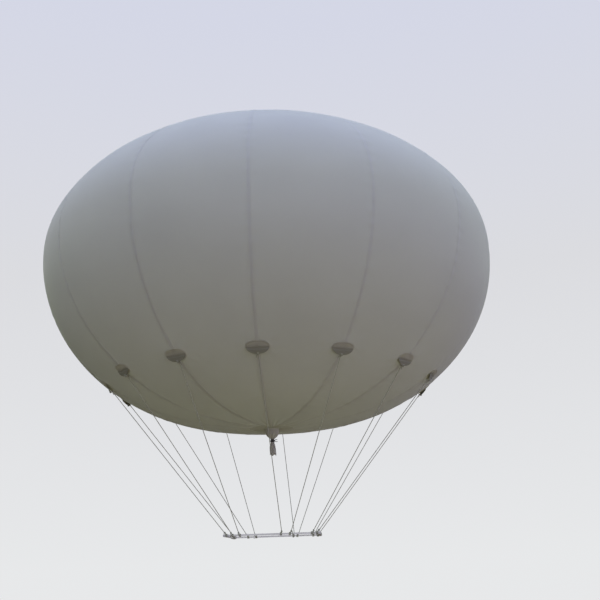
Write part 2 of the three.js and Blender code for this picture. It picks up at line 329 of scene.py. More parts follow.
# Floor and backdrop
FLOOR_DROP = 0.1
FLOOR_RADIUS = 60
FLOOR_SIDES = 96
HORIZON = (0.80, 0.81, 0.82)
BACKDROP = [
    (0.5, HORIZON),
    (0.67, (0.71, 0.715, 0.745)),
    (0.81, (0.66, 0.68, 0.79)),
    (1.0, (0.64, 0.67, 0.80)),
]

# Soft light from straight below, 0, to straight above, 1, away from the open side and towards it
OPEN_SIDE = (0.82, -0.57, 0)
LIGHT_AWAY = [
    (0.0, (0.02, 0.02, 0.01)),
    (0.53, (0.02, 0.02, 0.01)),
    (0.60, (0.38, 0.45, 0.26)),
    (0.70, (0.84, 0.86, 0.86)),
    (0.82, (0.86, 0.92, 1.10)),
    (1.0, (1.02, 1.16, 1.88)),
]
LIGHT_OPEN = [
    (0.0, (0.54, 0.53, 0.27)),
    (0.3, (0.29, 0.24, 0.23)),
    (0.46, (0.34, 0.27, 0.54)),
    (0.54, (0.70, 0.66, 1.07)),
    (0.70, (0.62, 0.73, 0.74)),
    (0.82, (0.88, 1.06, 1.06)),
    (1.0, (1.02, 1.16, 1.88)),
]

RANDOM_SEED = 7


# Meshes


def mesh_object(name, points, faces, material, uv=None, sharp=SHARP_ANGLE, merge=False):
    mesh = bpy.data.meshes.new(name)
    mesh.from_pydata(np.asarray(points).tolist(), [], [list(map(int, face)) for face in faces])
    if uv is not None:
        corners = np.empty(len(mesh.loops), dtype=np.int32)
        mesh.loops.foreach_get("vertex_index", corners)
        layer = mesh.uv_layers.new(name="along")
        layer.data.foreach_set("uv", np.asarray(uv, np.float32)[corners].ravel())
    if merge:
        edit = bmesh.new()
        edit.from_mesh(mesh)
        bmesh.ops.remove_doubles(edit, verts=edit.verts, dist=MERGE_DISTANCE)
        edit.to_mesh(mesh)
        edit.free()
    mesh.polygons.foreach_set("use_smooth", np.ones(len(mesh.polygons), dtype=bool))
    mesh.set_sharp_from_angle(angle=sharp)
    mesh.materials.append(material)
    piece = bpy.data.objects.new(name, mesh)
    bpy.context.scene.collection.objects.link(piece)
    return piece


def place(piece, slot, *nodes):
    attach(piece, BODY)
    if nodes:
        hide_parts(*nodes)
    return piece


class Parts:
    """Sheets and tubes gathered into one mesh."""

    def __init__(self):
        self.points = []
        self.faces = []
        self.uvs = []
        self.count = 0

    def add(self, points, faces, uv=None):
        self.points.append(points)
        self.faces.extend([tuple(int(i) + self.count for i in face) for face in faces])
        self.uvs.append(np.zeros((len(points), 2)) if uv is None else uv)
        self.count += len(points)

    def build(self, name, material, **options):
        points = np.concatenate(self.points)
        return mesh_object(name, points, self.faces, material, np.concatenate(self.uvs), **options)


def thick_sheet(outer, inner, wrap=False, closed_start=False):
    """Points and faces of a closed sheet between two grids, whose columns may wrap round."""
    rows, columns = outer.shape[:2]
    points = np.concatenate([outer.reshape(-1, 3), inner.reshape(-1, 3)])
    below = rows * columns
    at = np.arange(below).reshape(rows, columns)
    if wrap:
        at = np.concatenate([at, at[:, :1]], 1)
    corners = at[:-1, :-1], at[:-1, 1:], at[1:, 1:], at[1:, :-1]
    outer_faces = np.stack(corners, -1).reshape(-1, 4)
    groups = [outer_faces, outer_faces[:, ::-1] + below]
    borders = [(at[-1], False)]
    if not closed_start:
        borders.append((at[0], True))
    if not wrap:
        borders += [(at[:, 0], False), (at[:, -1], True)]
    for line, flip in borders:
        strip = np.stack([line[:-1], line[1:], line[1:] + below, line[:-1] + below], -1)
        groups.append(strip[:, ::-1] if flip else strip)
    return points, np.concatenate(groups)


def unit(vector):
    vector = np.asarray(vector, float)
    return vector / np.linalg.norm(vector)


def side_of(axis):
    """A direction square to an axis."""
    return unit(np.cross(axis, np.eye(3)[np.argmin(np.abs(axis))]))


def smooth_path(points):
    """A Catmull-Rom curve through points."""
    points = np.asarray(points, float)
    before = 2 * points[:1] - points[1:2]
    after = 2 * points[-1:] - points[-2:-1]
    padded = np.concatenate([before, points, after])
    share = np.linspace(0, 1, PATH_STEPS, endpoint=False)[:, None]
    pieces = []
    for p0, p1, p2, p3 in zip(padded, padded[1:], padded[2:], padded[3:]):
        linear = (p2 - p0) * share
        square = (2 * p0 - 5 * p1 + 4 * p2 - p3) * share**2
        cube = (3 * p1 - p0 - 3 * p2 + p3) * share**3
        pieces.append(p1 + (linear + square + cube) / 2)
    pieces.append(points[-1:])
    return np.concatenate(pieces)


def tube(path, radius, closed=False):
    """A closed tube along a path, with its turn and its length in metres as UV."""
    path = np.asarray(path, float)
    if closed:
        tangents = np.roll(path, -1, 0) - np.roll(path, 1, 0)
    else:
        tangents = np.gradient(path, axis=0)
    tangents /= np.linalg.norm(tangents, axis=1, keepdims=True)
    normal = side_of(tangents[0])
    normals = []
    for tangent in tangents:
        normal = unit(normal - tangent * (normal @ tangent))
        normals.append(normal)
    normals = np.array(normals)
    sideways = np.cross(tangents, normals)
    angle = 2 * math.pi * np.arange(CORD_SIDES) / CORD_SIDES
    cosine, sine = np.cos(angle)[None, :, None], np.sin(angle)[None, :, None]
    ring = cosine * normals[:, None] + sine * sideways[:, None]
    radii = np.broadcast_to(np.asarray(radius, float), len(path))
    points = path[:, None] + ring * radii[:, None, None]
    along = np.concatenate([[0], np.cumsum(np.linalg.norm(np.diff(path, axis=0), axis=1))])
    uv = np.stack(np.broadcast_arrays(angle[None] / (2 * math.pi), along[:, None]), -1).reshape(-1, 2)
    at = np.arange(len(path) * CORD_SIDES).reshape(len(path), CORD_SIDES)
    at = np.concatenate([at, at[:, :1]], 1)
    if closed:
        at = np.concatenate([at, at[:1]], 0)
    faces = np.stack([at[:-1, :-1], at[:-1, 1:], at[1:, 1:], at[1:, :-1]], -1).reshape(-1, 4).tolist()
    if not closed:
        faces.append(at[0, :-1][::-1].tolist())
        faces.append(at[-1, :-1].tolist())
    return points.reshape(-1, 3), faces, uv


def turned(section, sides, centre, axis):
    """A solid of revolution from radius and height pairs, which start and end on the axis."""
    axis = unit(axis)
    first = side_of(axis)
    second = np.cross(axis, first)
    angle = 2 * math.pi * np.arange(sides) / sides
    ring = np.cos(angle)[:, None] * first + np.sin(angle)[:, None] * second
    body = section[1:-1]
    points = [np.asarray(centre) + axis * section[0][1]]
    for radius, height in body:
        points.extend(np.asarray(centre) + axis * height + ring * radius)
    points.append(np.asarray(centre) + axis * section[-1][1])
    last = len(points) - 1
    faces = []
    for j in range(sides):
        k = (j + 1) % sides
        faces.append((0, 1 + k, 1 + j))
        for i in range(len(body) - 1):
            low, high = 1 + i * sides, 1 + (i + 1) * sides
            faces.append((low + j, low + k, high + k, high + j))
        top = 1 + (len(body) - 1) * sides
        faces.append((top + j, top + k, last))
    return np.array(points), faces


# Shape of the envelope


def profile(latitude):
    """Radius and height of the envelope."""
    latitude = np.asarray(latitude, float)
    height = np.where(latitude > 0, TOP_HEIGHT, BOTTOM_DEPTH)
    from_bottom = (latitude + math.pi / 2) / FLATTENING_SPREAD
    scale = 1 - BOTTOM_FLATTENING * np.exp(-(from_bottom**2))
    return RADIUS * np.cos(latitude) * scale, height * np.sin(latitude) * scale


def profile_normal(latitude):
    """The outward direction on the profile, as its radial part and its height."""
    r0, z0 = profile(np.asarray(latitude) - NORMAL_STEP)
    r1, z1 = profile(np.asarray(latitude) + NORMAL_STEP)
    length = np.hypot(r1 - r0, z1 - z0)
    return (z1 - z0) / length, -(r1 - r0) / length


def latitude_at_radius(radius, half):
    """Where the envelope has a radius, on its upper half, 1, or on its lower half, -1."""
    near, far = 0.0, math.pi / 2
    for _ in range(HALVINGS):
        middle = (near + far) / 2
        if profile(half * middle)[0] > radius:
            near = middle
        else:
            far = middle
    return half * near


# Distance up the profile from the bottom pole, for equal steps of latitude
ALL_LATITUDES = np.linspace(-math.pi / 2, math.pi / 2, PROFILE_STEPS)
ALL_ARCS = np.concatenate([[0], np.cumsum(np.hypot(*np.diff(profile(ALL_LATITUDES))))])


def arc_at(latitude):
    return np.interp(latitude, ALL_LATITUDES, ALL_ARCS)


def latitude_at_arc(arc):
    return np.interp(arc, ALL_ARCS, ALL_LATITUDES)


PATCH_ARC = arc_at(PATCH_LATITUDE)


def smoothstep(value, low, high):
    share = np.clip((np.asarray(value, float) - low) / (high - low), 0, 1)
    return share * share * (3 - 2 * share)


def bell(value, spread):
    return np.exp(-((value / spread) ** 2))


def waves(turn, arc, rows):
    """A sum of waves that run round the balloon and up it."""
    return sum(size * np.sin(count * turn + rate * arc + phase) for size, count, rate, phase in rows)


def relief(latitude, turn):
    """How far the film stands out from the plain skin: pulled at the patches, puckered at its welds."""
    latitude, turn = np.broadcast_arrays(np.asarray(latitude, float), np.asarray(turn, float))
    r = profile(latitude)[0]
    arc = arc_at(latitude)
    seam_turn = np.round(turn / GORE_TURN) * GORE_TURN
    aside = r * (turn - seam_turn)
    up = arc - PATCH_ARC
    from_patch = np.hypot(aside, up)
    pull = PATCH_PULL * bell(from_patch, PATCH_PULL_SPREAD)
    spokes = np.cos(CREASE_COUNT * np.arctan2(up, aside))
    creases = CREASE * spokes * bell(from_patch - CREASE_REACH, CREASE_SPREAD)
    ripple = np.sin(2 * math.pi * arc / PUCKER_PITCH + waves(seam_turn, arc, PUCKER_DRIFT))
    pucker = PUCKER * ripple * bell(aside, PUCKER_SPREAD)
    pucker *= smoothstep(r, PUCKER_CLEAR_OF_POLE, 2 * PUCKER_CLEAR_OF_POLE)
    fold = np.cos(GATHER_FOLDS * turn + waves(turn, arc, GATHER_DRIFT))
    gather = GATHER * fold * bell(r - GATHER_REACH, GATHER_SPREAD)
    sway = SWAY * waves(turn, arc, SWAY_WAVES) * np.cos(latitude)
    return pull + creases + pucker + gather + sway


def skin(latitude, turn, offset=0.0):
    """Points on the lobed skin with its relief, as an array whose last axis is x, y, z."""
    latitude, turn = np.broadcast_arrays(np.asarray(latitude, float), np.asarray(turn, float))
    r, z = profile(latitude)
    normal_r, normal_z = profile_normal(latitude)
    across = turn / GORE_TURN - np.floor(turn / GORE_TURN)
    valley = LOBE_DEPTH * np.cos(latitude) * (2 * across - 1) ** 2
    out = offset + relief(latitude, turn)
    r = r - valley + normal_r * out
    return np.stack([r * np.sin(turn), -r * np.cos(turn), z + normal_z * out], -1)


# Nodes of the materials


def add(tree, kind, inputs=None, **settings):
    """A node whose inputs are numbers or other nodes' sockets."""
    node = tree.nodes.new(kind)
    for name, value in settings.items():
        setattr(node, name, value)
    for name, value in (inputs or {}).items():
        socket = node.inputs[name]
        if isinstance(value, bpy.types.NodeSocket):
            tree.links.new(value, socket)
        else:
            socket.default_value = value
    return node


def math_node(tree, operation, first, second=0.0):
    return add(tree, "ShaderNodeMath", {0: first, 1: second}, operation=operation).outputs[0]


def new_material(name):
    material = bpy.data.materials.new(name)
    material.use_nodes = True
    material.node_tree.nodes.clear()
    return material, material.node_tree


def output(tree, shader):
    add(tree, "ShaderNodeOutputMaterial", {"Surface": shader})


def object_place(tree):
    return add(tree, "ShaderNodeTexCoord").outputs["Object"]


def uv_parts(tree):
    """The two numbers of a piece's UV."""
    uv = add(tree, "ShaderNodeUVMap", uv_map="along").outputs["UV"]
    parts = add(tree, "ShaderNodeSeparateXYZ", {0: uv})
    return parts.outputs[0], parts.outputs[1]


def noise(tree, vector, scale, detail, roughness=0.5, distortion=0.0):
    return add(tree, "ShaderNodeTexNoise", {
        "Vector": vector,
        "Scale": scale,
        "Detail": detail,
        "Roughness": roughness,
        "Distortion": distortion,
    }).outputs["Fac"]


def ranged(tree, value, low, high, from_low=NOISE_RANGE[0], from_high=NOISE_RANGE[1]):
    inputs = {"Value": value, "From Min": from_low, "From Max": from_high, "To Min": low, "To Max": high}
    return add(tree, "ShaderNodeMapRange", inputs).outputs["Result"]


def blended(tree, share, first, second):
    """A colour between two others, which are numbers or sockets."""
    node = add(tree, "ShaderNodeMix", data_type="RGBA")
    tree.links.new(share, node.inputs["Factor"])
    for socket, colour in zip([s for s in node.inputs if s.type == "RGBA"], (first, second)):
        if isinstance(colour, bpy.types.NodeSocket):
            tree.links.new(colour, socket)
        else:
            socket.default_value = (*colour, 1)
    return next(s for s in node.outputs if s.type == "RGBA")


def bump(tree, height, depth, strength, normal=None):
    inputs = {"Height": height, "Distance": depth, "Strength": strength}
    if normal:
        inputs["Normal"] = normal
    return add(tree, "ShaderNodeBump", inputs).outputs["Normal"]


def darkened(colour, shade):
    return [channel * shade for channel in colour]


def film_material(name, white, through, share, roughness, welded=False, tip=None):
    """Translucent film: a satin white face, and a share of light that comes through from the far side.

    A welded film has a band along its edges, and a tip is the colour and share far down the piece: a
    painted shade that darkens the piece towards its free end.
    """
    material, tree = new_material(name)
    where = object_place(tree)
    handled = noise(tree, where, *FILM_HANDLING)
    clouds = ranged(tree, noise(tree, where, *FILM_CLOUDS), 0, 1)
    surface = blended(tree, clouds, white, darkened(white, FILM_CLOUD_SHADE))
    passed = blended(tree, clouds, through, darkened(through, FILM_CLOUD_SHADE))
    normal = bump(tree, noise(tree, where, *FILM_GRAIN), *FILM_GRAIN_BUMP)
    normal = bump(tree, handled, *FILM_HANDLING_BUMP, normal)
    if welded:
        aside, along = uv_parts(tree)
        band = math_node(tree, "LESS_THAN", math_node(tree, "ABSOLUTE", aside), WELD_WIDTH / 2)
        slanted = math_node(tree, "MULTIPLY", math_node(tree, "ADD", aside, along), KNURL)
        knurl = math_node(tree, "MULTIPLY", math_node(tree, "SINE", slanted), band)
        normal = bump(tree, knurl, *KNURL_BUMP, normal)
        passed = blended(tree, band, passed, WELD_THROUGH)
        share = ranged(tree, band, share, WELD_SHARE, 0, 1)
    # Painted shade: down the piece, its face and the light that comes through it turn to the darker tip
    # colour.
    if tip:
        tip_painted_shade, tip_share = tip
        down = uv_parts(tree)[1]
        lower = ranged(tree, down, 0, 1, *FLAP_SHADE)
        surface = blended(tree, lower, surface, tip_painted_shade)
        passed = blended(tree, lower, passed, tip_painted_shade)
        share = ranged(tree, lower, share, tip_share, 0, 1)
    face = add(tree, "ShaderNodeBsdfPrincipled", {
        "Base Color": surface,
        "Roughness": ranged(tree, handled, *roughness),
        "IOR": FILM_IOR,
        "Normal": normal,
    })
    glow = add(tree, "ShaderNodeBsdfTranslucent", {"Color": passed, "Normal": normal})
    mixed = add(tree, "ShaderNodeMixShader", {0: share, 1: face.outputs[0], 2: glow.outputs[0]})
    output(tree, mixed.outputs[0])
    return material


def cord_material(name, light, groove_shade, pitch):
    """A braided cord: two sets of strands that cross as they wind round it, with painted shade in the
    grooves between them.
    """
    material, tree = new_material(name)
    turn, length = uv_parts(tree)
    around = math_node(tree, "MULTIPLY", turn, 2 * math.pi * BRAID_STRANDS)
    along = math_node(tree, "MULTIPLY", length, 2 * math.pi / pitch)
    left = math_node(tree, "SINE", math_node(tree, "ADD", around, along))
    right = math_node(tree, "SINE", math_node(tree, "SUBTRACT", around, along))
    braid = math_node(tree, "MAXIMUM", left, right)
    where = object_place(tree)
    soiled = ranged(tree, noise(tree, where, *CORD_SOIL), 0, 1, *SOIL_RANGE)
    worn = blended(tree, soiled, light, darkened(light, SOILED_SHADE))
    normal = bump(tree, noise(tree, where, *CORD_FUZZ), *CORD_FUZZ_BUMP)
    # Painted shade: the braid's grooves take the darker colour.
    cord = add(tree, "ShaderNodeBsdfPrincipled", {
        "Base Color": blended(tree, ranged(tree, braid, 0, 1, *BRAID_GROOVE_SHADE), groove_shade, worn),
        "Roughness": CORD_ROUGHNESS,
        "Sheen Weight": CORD_SHEEN,
        "Normal": bump(tree, braid, *BRAID_BUMP, normal),
    })
    output(tree, cord.outputs[0])
    return material


def metal_material(name, colour, roughness, grain, grain_depth):
    """Metal with drawn or cast grain, which is stretched by its scale along each axis."""
    material, tree = new_material(name)
    where = object_place(tree)
    stretched = add(tree, "ShaderNodeMapping", {"Vector": where, "Scale": grain}).outputs[0]
    lines = noise(tree, stretched, *METAL_GRAIN)
    smudges = ranged(tree, noise(tree, where, *METAL_SMUDGES), 0, 1)
    metal = add(tree, "ShaderNodeBsdfPrincipled", {
        "Base Color": blended(tree, smudges, colour, darkened(colour, SMUDGED_SHADE)),
        "Metallic": 1.0,
        "Roughness": ranged(tree, lines, *roughness),
        "Normal": bump(tree, lines, grain_depth, METAL_BUMP_STRENGTH),
    })
    output(tree, metal.outputs[0])
    return material


def build_materials():
    """All the materials, by the name of what they cover."""
    white = (0.86, 0.86, 0.85)
    through = (0.86, 0.86, 0.78)
    disc_through = (0.95, 0.945, 0.92)
    patch_white = (0.82, 0.82, 0.79)
    patch_through = (0.92, 0.90, 0.85)
    # Painted shade: the flap turns this dark olive grey down towards its tip, for the shade that the
    # hanging flap lies in.
    flap_painted_shade = (0.42, 0.41, 0.33)
    neck_white = (0.80, 0.80, 0.72)
    neck_through = (0.82, 0.81, 0.72)
    # Painted shade: the white line cord is darkened for the shade on its underside, and each cord's
    # darker colour is painted shade in its braid's grooves.
    cord_painted_shade_tone = (0.56, 0.56, 0.46)
    cord_groove_painted_shade = (0.35, 0.35, 0.29)
    tie_light = (0.10, 0.10, 0.09)
    tie_groove_painted_shade = (0.03, 0.03, 0.03)
    bar = (0.96, 0.97, 0.80)
    corner = (0.74, 0.74, 0.67)
    screw = (0.50, 0.50, 0.49)
    eyelet = (0.62, 0.62, 0.60)

    film_satin = (0.3, 0.42)
    neck_satin = (0.32, 0.46)
    patch_matt = (0.38, 0.5)
    flap_matt = (0.48, 0.6)
    bar_satin = (0.32, 0.46)
    corner_satin = (0.42, 0.55)
    screw_satin = (0.3, 0.42)
    eyelet_satin = (0.3, 0.4)
    fine = 0.0001
    coarse = 0.00025

    # The flap's painted shade, and its smaller share of light that comes through at the tip
    tip = (flap_painted_shade, FLAP_SHARE)
    return {
        "film": film_material("envelope_film", white, through, FILM_SHARE, film_satin, welded=True),
        "disc": film_material("disc_film", white, disc_through, DISC_SHARE, patch_matt),
        "patch": film_material("patch_film", patch_white, patch_through, PATCH_SHARE, patch_matt),
        "flap": film_material("flap_film", patch_white, patch_through, PATCH_SHARE, flap_matt, tip=tip),
        "neck": film_material("neck_film", neck_white, neck_through, FILM_SHARE, neck_satin),
        "cord": cord_material("line_cord", cord_painted_shade_tone, cord_groove_painted_shade, BRAID_PITCH),
        "tie": cord_material("tie_cord", tie_light, tie_groove_painted_shade, TIE_BRAID_PITCH),
        "bar_x": metal_material("frame_tube_long", bar, bar_satin, DRAWN_ALONG_X, fine),
        "bar_y": metal_material("frame_tube_short", bar, bar_satin, DRAWN_ALONG_Y, fine),
        "corner": metal_material("frame_corner", corner, corner_satin, CAST, coarse),
        "screw": metal_material("frame_screw", screw, screw_satin, CAST, fine),
        "eyelet": metal_material("patch_eyelet", eyelet, eyelet_satin, CAST, fine),
    }


# Envelope


def build_gore(index, material):
    """One gore. Its right edge laps over its neighbour's left edge, one film higher."""
    low = arc_at(latitude_at_radius(GORE_END_RADIUS, -1))
    high = arc_at(latitude_at_radius(GORE_END_RADIUS, 1))
    arc = np.linspace(low, high, GORE_ROWS)[:, None]
    latitude = latitude_at_arc(arc)
    radius = profile(latitude)[0]
    width = radius * GORE_TURN
    half = WELD_WIDTH / 2
    left = np.array([-half, 0, half, half + WELD_RAMP])
    right = np.array([-half - WELD_RAMP, -half, 0, half])
    middle = np.linspace(0, 1, GORE_COLUMNS + 2)[1:-1]
    span = width - 2 * (half + WELD_RAMP)
    distance = np.concatenate([
        np.broadcast_to(left, (GORE_ROWS, len(left))),
        half + WELD_RAMP + span * middle,
        width + right,
    ], 1)
    lift = (FILM + WELD_GAP) * smoothstep(distance - width, -half - WELD_RAMP, -half)
    turn = index * GORE_TURN + distance / radius
    points, faces = thick_sheet(skin(latitude, turn, lift), skin(latitude, turn, lift - FILM))
    aside = np.minimum(distance, width - distance)
    uv = np.stack(np.broadcast_arrays(aside, arc), -1).reshape(-1, 2)
    name = f"gore_{index + 1:02d}"
    piece = mesh_object(f"{name}_film", points, faces, material, np.concatenate([uv, uv]))
    place(piece, "envelope_film", name)


def build_disc(name, half, stations, material):
    """A disc over a pole, whose section is given as radius and height over the film."""
    station_radii, station_heights = np.array(stations).T
    order = np.arange(len(stations))
    share = np.linspace(0, len(stations) - 1, DISC_ROWS_PER_STATION * len(stations))
    radii = np.interp(share, order, station_radii)
    height = np.interp(share, order, station_heights)[:, None]
    latitude = np.array([latitude_at_radius(max(radius, NEAR_POLE), half) for radius in radii])[:, None]
    turn = np.linspace(0, 2 * math.pi, DISC_SIDES, endpoint=False)[None]
    outer = skin(latitude, turn, height + OVERLAY + DISC_FILM)
    inner = skin(latitude, turn, np.zeros_like(height) + OVERLAY)
    for grid in (outer, inner):
        grid[0] = grid[0].mean(0)
    if half < 0:
        outer, inner = outer[:, ::-1], inner[:, ::-1]
    points, faces = thick_sheet(outer, inner, wrap=True, closed_start=True)
    piece = mesh_object(f"{name}_film", points, faces, material, merge=True)
    place(piece, "patch_film", name)


# Load patches


def line_ends(node):
    """The upper and lower end of a suspension line."""
    vertices = NODES[node].data.vertices
    points = np.empty(3 * len(vertices))
    vertices.foreach_get("co", points)
    points = points.reshape(-1, 3)
    middle = points.mean(0)
    axis = np.linalg.svd(points - middle, full_matrices=False)[2][0]
    axis *= math.copysign(1, axis[2])
    along = (points - middle) @ axis
    return points[np.argmax(along)], points[np.argmin(along)]


class Seat(NamedTuple):
    """A patch's turn and hinge point, and directions along its hinge, down its flap and out from it."""

    turn: float
    hinge: np.ndarray
    along: np.ndarray
    down: np.ndarray
    out: np.ndarray


def patch_seat(index):
    turn = (FIRST_SEAM + index) * GORE_TURN
    bottom = line_ends(f"suspension_line_{index + 1:02d}")[1]
    hinge = skin(PATCH_LATITUDE, turn, OVERLAY + PATCH_FILM)
    along = np.array([math.cos(turn), math.sin(turn), 0])
    down = bottom - hinge
    down = unit(down - along * (down @ along))
    return Seat(turn, hinge, along, down, np.cross(down, along))


def patch_surface(turn, across, down, offset):
    """A point of the skin at a distance across and down from a patch's middle."""
    latitude = latitude_at_arc(PATCH_ARC - down)
    return skin(latitude, turn + across / profile(latitude)[0], offset)


def patch_oval(share, angle):
    """Distances across and down on a patch's base, an oval with blunt ends."""
    cosine, sine = np.cos(angle), np.sin(angle)
    across = PATCH_HALF_WIDTH * share * np.sign(cosine) * np.abs(cosine) ** PATCH_BLUNTNESS
    down = PATCH_HALF_HEIGHT * share * np.sign(sine) * np.abs(sine) ** PATCH_BLUNTNESS
    return across, down


def patch_base(turn):
    """A patch's puffed base with its pressed weld, in points and faces."""
    weld_low, weld_high = PATCH_WELD
    pressed_low, pressed_high = weld_low + PRESS_EDGE, weld_high - PRESS_EDGE
    middle_rows, weld_rows, rim_rows = PATCH_ROWS
    share = np.unique(np.concatenate([
        np.linspace(0, weld_low, middle_rows),
        np.linspace(weld_low, weld_high, weld_rows),
        np.linspace(weld_high, 1, rim_rows),
        [pressed_low, pressed_high],
    ]))[:, None]
    angle = np.linspace(0, 2 * math.pi, PATCH_SIDES, endpoint=False)[None]
    pressed = PRESS_DEPTH * smoothstep(share, weld_low, pressed_low)
    pressed = pressed * (1 - smoothstep(share, pressed_high, weld_high))
    puff = PATCH_PUFF * (1 - smoothstep(share, 0, weld_low))
    across, down = patch_oval(share, angle)
    outer = patch_surface(turn, across, down, OVERLAY + PATCH_FILM - pressed + puff)
    inner = patch_surface(turn, across, down, np.zeros_like(share) + OVERLAY)
    return thick_sheet(outer, inner, wrap=True, closed_start=True)


def patch_hem(turn):
    """The hem on a patch's rim, in points and faces."""
    rim = np.linspace(PATCH_HEM, 1, len(HEM_SECTION))[:, None]
    angle = np.linspace(0, 2 * math.pi, PATCH_SIDES, endpoint=False)[None]
    across, down = patch_oval(rim, angle)
    seat = OVERLAY + PATCH_FILM + WELD_GAP
    outer = patch_surface(turn, across, down, seat + HEM_FILM * np.array(HEM_SECTION)[:, None])
    inner = patch_surface(turn, across, down, np.zeros_like(rim) + seat)
    return thick_sheet(outer, inner, wrap=True)


def flap_point(seat, across, drop, raise_by):
    """A point of a flap: welded to the patch near its hinge, then straight towards the frame."""
    across, drop = np.broadcast_arrays(np.asarray(across, float), np.asarray(drop, float))
    cover = OVERLAY + PATCH_FILM + PATCH_PUFF + WELD_GAP
    seated = patch_surface(seat.turn, across, drop, cover + raise_by)
    cup = FLAP_CUP * (1 - (across / FLAP_HALF_WIDTH) ** 2) * smoothstep(drop, 0, FLAP_HEIGHT)
    free = seat.hinge + seat.along * across[..., None] + seat.down * drop[..., None]
    free = free + seat.out * (PATCH_PUFF + cup + raise_by)[..., None]
    share = smoothstep(drop, *FLAP_PEEL)[..., None]
    return seated * (1 - share) + free * share


def flap_sheet(seat):
    """A half-oval flap with a tab welded over its hinge and a lug at its tip."""
    tab_rows, oval_rows, lug_rows = FLAP_ROWS
    drop = np.concatenate([
        np.linspace(-FLAP_TAB, 0, tab_rows)[:-1],
        np.linspace(0, FLAP_HEIGHT, oval_rows)[:-1],
        FLAP_HEIGHT * np.linspace(1, FLAP_LUG_REACH, lug_rows),
    ])[:, None]
    share = np.clip(drop / FLAP_HEIGHT, 0, None)
    oval = FLAP_HALF_WIDTH * np.sqrt(np.clip(1 - share**2, 0, None))
    past = np.clip((share - 1) / (FLAP_LUG_REACH - 1), 0, FLAP_LUG_END)
    lug = FLAP_LUG * np.sqrt(1 - past**2) * smoothstep(share, *FLAP_LUG_START)
    width = np.hypot(oval, lug)
    width = width * (1 - FLAP_TAB_TAPER * np.clip(-drop / FLAP_TAB, 0, 1) ** 2)
    across = width * np.linspace(1, -1, FLAP_COLUMNS)[None]
    drop = np.broadcast_to(drop, across.shape)
    hem = FLAP_HEM * smoothstep(np.abs(across) / width, *FLAP_HEM_EDGE)
    outer = flap_point(seat, across, drop, FLAP_FILM + hem)
    inner = flap_point(seat, across, drop, np.zeros_like(across))
    points, faces = thick_sheet(outer, inner)
    uv = np.stack([across, drop], -1).reshape(-1, 2)
    return points, faces, np.concatenate([uv, uv])


def build_patch(index, materials):
    """A patch's base, its flap and its eyelet."""
    seat = patch_seat(index)
    name = f"load_patch_{index + 1:02d}"
    parts = Parts()
    parts.add(*patch_base(seat.turn))
    parts.add(*patch_hem(seat.turn))
    piece = parts.build(f"{name}_base", materials["patch"], merge=True)
    place(piece, "patch_film", name)

    points, faces, uv = flap_sheet(seat)
    place(mesh_object(f"{name}_flap", points, faces, materials["flap"], uv), "patch_film", name)

    centre = flap_point(seat, 0.0, EYELET_DROP, 0)
    points, faces = turned(EYELET_SECTION, EYELET_SIDES, centre, seat.out)
    place(mesh_object(f"{name}_eyelet", points, faces, materials["eyelet"]), "patch_film")


# Cords


def knot(centre, axis, size, radius):
    """A pulled overhand knot, as a tube on a closed trefoil that lies across an axis."""
    axis = unit(axis)
    first = side_of(axis)
    second = np.cross(axis, first)
    t = np.linspace(0, 2 * math.pi, KNOT_STEPS, endpoint=False)[:, None]
    x = np.sin(t) + 2 * np.sin(2 * t)
    y = np.cos(t) - 2 * np.cos(2 * t)
    z = -KNOT_DEPTH * np.sin(3 * t)
    path = np.asarray(centre) + size * (KNOT_SPREAD * x * first + KNOT_SPREAD * y * second + z * axis)
    return tube(path, radius, closed=True)


def wrap_path(centre, section, direction):
    """A cord wound from the top round a square bar along X, and on in a direction along it."""
    reach = section / 2 + CORD_RADIUS
    share = np.linspace(0, 1, int(WRAP_STEPS_PER_TURN * WRAP_TURNS))
    angle = math.pi / 2 + 2 * math.pi * WRAP_TURNS * share
    across = np.cos(angle)
    height = np.sin(angle)
    return np.asarray(centre) + np.stack([
        direction * WRAP_PITCH * WRAP_TURNS * (share - 0.5),
        reach * np.sign(across) * np.abs(across) ** WRAP_SQUARENESS,
        reach * np.sign(height) * np.abs(height) ** WRAP_SQUARENESS,
    ], -1)


def add_upper_end(parts, seat, knot_place, line, rng):
    """The loop through an eyelet, the knot that closes it and a loose end."""
    eye = flap_point(seat, 0.0, EYELET_DROP, 0)
    lip = flap_point(seat, 0.0, FLAP_HEIGHT * FLAP_LUG_REACH, 0)
    clear = CORD_RADIUS + LOOP_GAP
    above = seat.out * (clear + FLAP_FILM)
    below = seat.out * clear
    bend = seat.down * LOOP_BEND
    loop = smooth_path([
        knot_place,
        lip + above,
        eye + above + bend,
        eye + seat.out * (LOOP_ENTRY * clear + FLAP_FILM),
        eye - seat.out * LOOP_EXIT * clear,
        eye + bend - below,
        lip - below,
        knot_place,
    ])
    parts.add(*tube(loop, CORD_RADIUS))
    parts.add(*knot(knot_place, np.cross(line, seat.along), CORD_RADIUS, KNOT_CORD_RADIUS))
    across = seat.along * rng.choice([-1, 1])
    forward = line * rng.uniform(*UPPER_TAIL_FORWARD)
    outward = seat.out * rng.uniform(*UPPER_TAIL_OUTWARD)
    sideways = unit(across + forward + outward)
    tail = smooth_path([knot_place + sideways * aside + line * on for aside, on in UPPER_TAIL])
    parts.add(*tube(tail, CORD_RADIUS))


